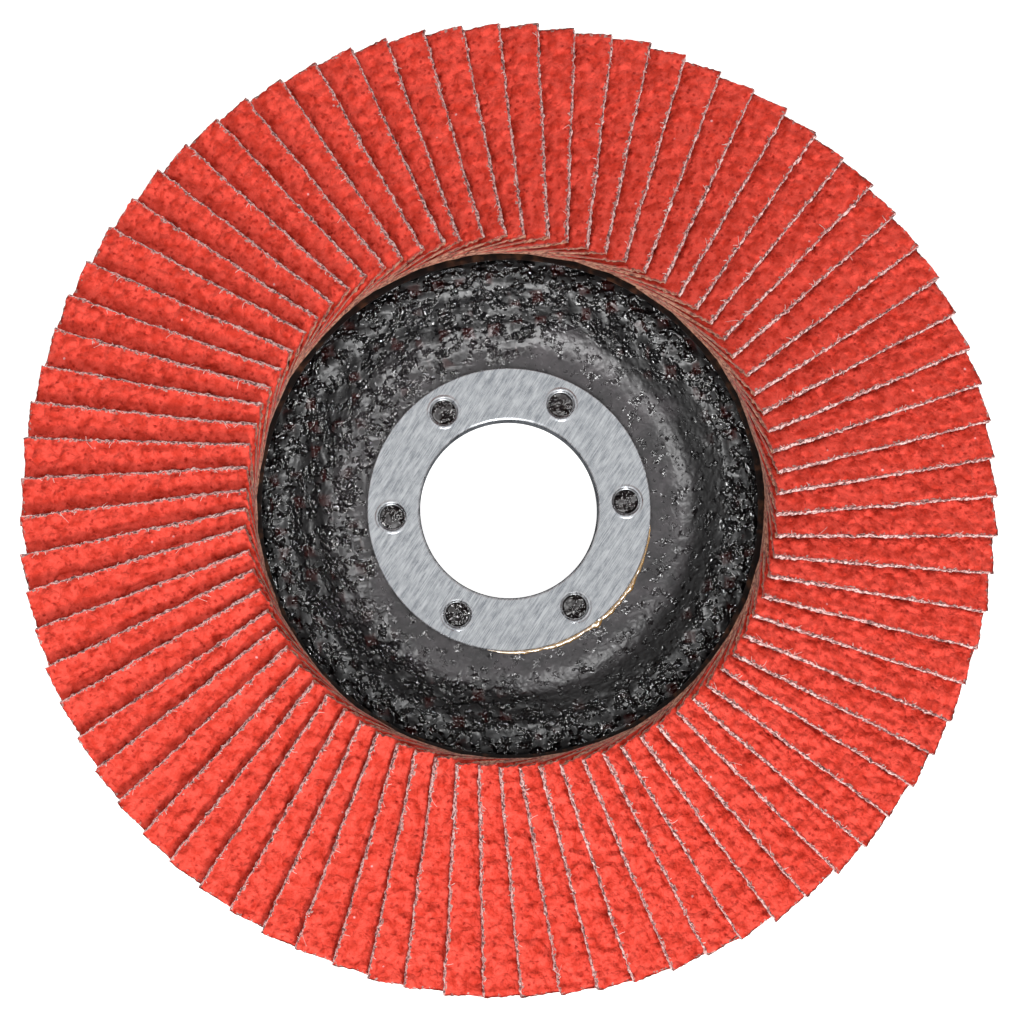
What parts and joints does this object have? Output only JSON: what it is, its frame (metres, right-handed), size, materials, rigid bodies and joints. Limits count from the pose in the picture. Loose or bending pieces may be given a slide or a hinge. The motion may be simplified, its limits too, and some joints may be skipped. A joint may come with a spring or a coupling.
{
  "type": "abrasive flap disc",
  "caption": "Round abrasive flap disc for an angle grinder: overlapping radial abrasive cloth flaps on a dished glass-fibre plate with a steel-lined arbor hole.",
  "frame": {"origin": "centre of the arbor bore in the plane of the back clamping face", "axes": "+Z along the bore axis, out of the abrasive working face; +X and +Y in the plane of the clamping face"},
  "size_m": [0.1222, 0.1222, 0.0163],
  "materials": {
    "ring_steel": "rolled sheet, fine diagonal scratches",
    "amber_glue": "hardened clear amber resin",
    "black_resin_glass": "glossy phenolic resin over coarse woven glass",
    "brown_resin_glass": "resin-bonded glass cloth, cut edge",
    "label_paper": "plain printed paper under resin, no text",
    "flap_adhesive": "hardened epoxy bed",
    "red_abrasive_cloth": "ceramic grain with red size coat on woven cloth"
  },
  "bodies": {
    "root": {"steel_ring": "ring_steel", "ring_glue_bead": "amber_glue", "face_ply": "black_resin_glass", "upper_core_ply": "brown_resin_glass", "lower_core_ply": "brown_resin_glass", "back_ply": "black_resin_glass", "back_label": "label_paper", "adhesive_bed": "flap_adhesive", "flap_pair_01": "red_abrasive_cloth", "flap_pair_02": "red_abrasive_cloth", "flap_pair_03": "red_abrasive_cloth", "flap_pair_04": "red_abrasive_cloth", "flap_pair_05": "red_abrasive_cloth", "flap_pair_06": "red_abrasive_cloth", "flap_pair_07": "red_abrasive_cloth", "flap_pair_08": "red_abrasive_cloth", "flap_pair_09": "red_abrasive_cloth", "flap_pair_10": "red_abrasive_cloth", "flap_pair_11": "red_abrasive_cloth", "flap_pair_12": "red_abrasive_cloth", "flap_pair_13": "red_abrasive_cloth", "flap_pair_14": "red_abrasive_cloth", "flap_pair_15": "red_abrasive_cloth", "flap_pair_16": "red_abrasive_cloth", "flap_pair_17": "red_abrasive_cloth", "flap_pair_18": "red_abrasive_cloth", "flap_pair_19": "red_abrasive_cloth", "flap_pair_20": "red_abrasive_cloth", "flap_pair_21": "red_abrasive_cloth", "flap_pair_22": "red_abrasive_cloth", "flap_pair_23": "red_abrasive_cloth", "flap_pair_24": "red_abrasive_cloth", "flap_pair_25": "red_abrasive_cloth", "flap_pair_26": "red_abrasive_cloth", "flap_pair_27": "red_abrasive_cloth", "flap_pair_28": "red_abrasive_cloth", "flap_pair_29": "red_abrasive_cloth", "flap_pair_30": "red_abrasive_cloth", "flap_pair_31": "red_abrasive_cloth", "flap_pair_32": "red_abrasive_cloth", "flap_pair_33": "red_abrasive_cloth", "flap_pair_34": "red_abrasive_cloth", "flap_pair_35": "red_abrasive_cloth", "flap_pair_36": "red_abrasive_cloth", "flap_pair_37": "red_abrasive_cloth", "flap_pair_38": "red_abrasive_cloth", "flap_pair_39": "red_abrasive_cloth", "flap_pair_40": "red_abrasive_cloth"}
  },
  "joints": []
}
